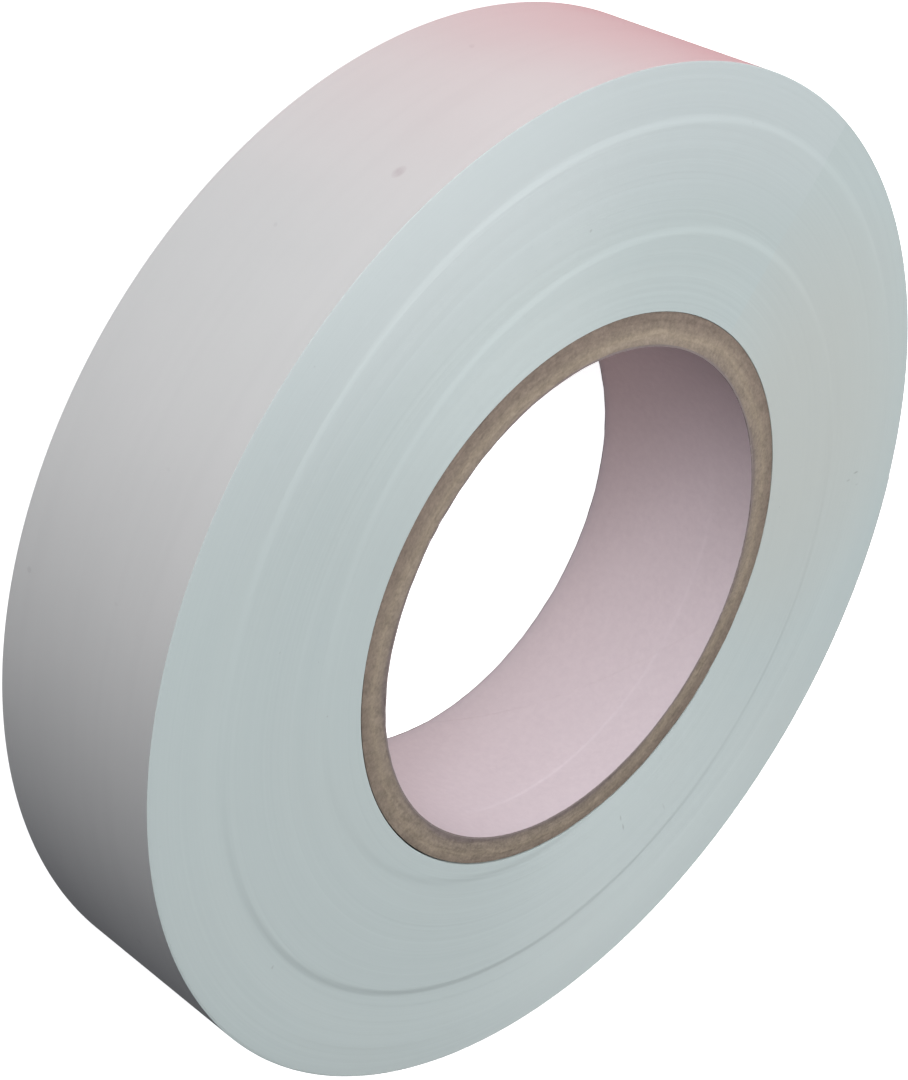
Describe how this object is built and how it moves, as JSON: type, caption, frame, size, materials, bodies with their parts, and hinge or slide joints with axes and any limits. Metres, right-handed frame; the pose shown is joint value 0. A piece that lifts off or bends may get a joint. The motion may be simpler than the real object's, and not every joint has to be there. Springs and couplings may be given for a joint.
{
  "type": "electrical tape roll",
  "caption": "Roll of white PVC electrical tape wound on a paperboard core, lying on its side, with a free end that peels off the outside.",
  "frame": {"origin": "centre of the round face that the roll lies on", "axes": "+Z along the roll's axis, up from the face it lies on; +Y towards the line on the outside where the free end of the tape starts to peel; the tape is wound outwards anticlockwise as seen from +Z"},
  "size_m": [0.0774, 0.0775, 0.015],
  "materials": {
    "tape_pvc": "white plasticised PVC film, satin on the outside, finely lined on the slit sides",
    "core_board": "grey-brown recycled board, cut edges slightly fibrous",
    "kraft_paper": "brown kraft paper, matte",
    "liner_paper": "smooth white paper, matte"
  },
  "bodies": {
    "roll": {"core_liner": "liner_paper", "core_ply_1": "core_board", "core_ply_2": "core_board", "core_ply_3": "core_board", "core_ply_4": "core_board", "core_wrap": "kraft_paper", "wound_tape": "tape_pvc", "outer_wrap": "tape_pvc"},
    "free_end": {"tape_end": "tape_pvc"}
  },
  "joints": [
    {"name": "free_end_peel", "type": "hinge", "parent": "roll", "child": "free_end", "pos_m": [0, 0.03881, 0.0075], "axis": [0, 0, -1], "range_deg": [0, 150]}
  ]
}
